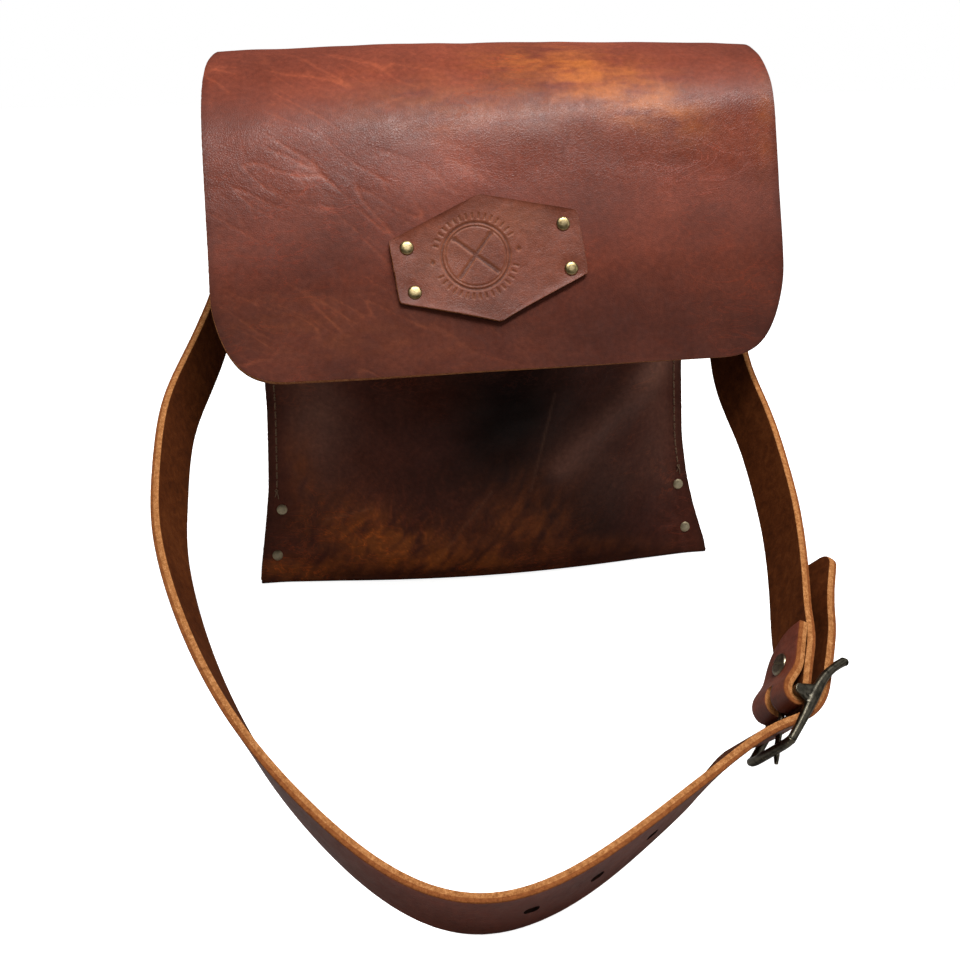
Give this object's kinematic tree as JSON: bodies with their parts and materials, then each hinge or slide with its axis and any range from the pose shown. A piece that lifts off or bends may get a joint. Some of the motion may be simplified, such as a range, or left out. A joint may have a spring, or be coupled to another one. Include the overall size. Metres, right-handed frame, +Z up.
{
  "type": "drum stick bag",
  "caption": "Leather shoulder bag for drum sticks with an arched flap, riveted patch, folded pouch and a buckled strap laid in a loop in front.",
  "frame": {"origin": "middle of the bottom fold, on the surface the bag stands on", "axes": "+Z up, -Y towards the front of the bag, +X to the right seen from the front"},
  "size_m": [0.4336, 0.5131, 0.4137],
  "materials": {
    "leather_pouch": "waxed pull-up hide, smooth grain, worn lighter at folds",
    "leather_flap": "thick waxed pull-up hide, satin, creased",
    "leather_patch": "satin hide, debossed",
    "leather_strap": "bridle hide, satin outside, raw tan edges, matte flesh side",
    "thread": "waxed twisted thread",
    "antique_brass": "aged, soft shine",
    "dark_brass": "dark antique plating, worn bright at corners"
  },
  "bodies": {
    "bag": {"pouch": "leather_pouch", "side_thread_left": "thread", "side_thread_right": "thread", "corner_rivet_caps": "antique_brass", "corner_rivet_posts": "antique_brass", "flap_tab": "leather_flap", "flap_thread": "thread", "strap_end_left": "leather_strap", "strap_end_right": "leather_strap", "anchor_rivet_caps": "antique_brass", "anchor_rivet_posts": "antique_brass"},
    "flap": {"flap": "leather_flap", "patch": "leather_patch", "patch_rivet_caps": "antique_brass", "patch_rivet_posts": "antique_brass"},
    "strap": {"strap_long": "leather_strap", "strap_short": "leather_strap", "screw_post": "antique_brass", "screw": "antique_brass"},
    "buckle": {"buckle_frame": "dark_brass", "buckle_bar": "dark_brass"},
    "prong": {"buckle_prong": "dark_brass"}
  },
  "joints": [
    {"name": "flap_fold", "type": "hinge", "parent": "bag", "child": "flap", "pos_m": [0, 0.0923, 0.366], "axis": [-1, 0, 0], "range_deg": [0, 165]},
    {"name": "strap_swing", "type": "hinge", "parent": "bag", "child": "strap", "pos_m": [0, 0.052, 0.262], "axis": [-1, 0, 0], "range_deg": [0, 8]},
    {"name": "buckle_swivel", "type": "hinge", "parent": "strap", "child": "buckle", "pos_m": [0.1274, -0.30857, 0.05624], "axis": [-0.2199, 0.5996, -0.7695], "range_deg": [-2, 2]},
    {"name": "prong_tilt", "type": "hinge", "parent": "buckle", "child": "prong", "pos_m": [0.1274, -0.30857, 0.05624], "axis": [-0.2199, 0.5996, -0.7695], "range_deg": [-1.5, 0]}
  ]
}
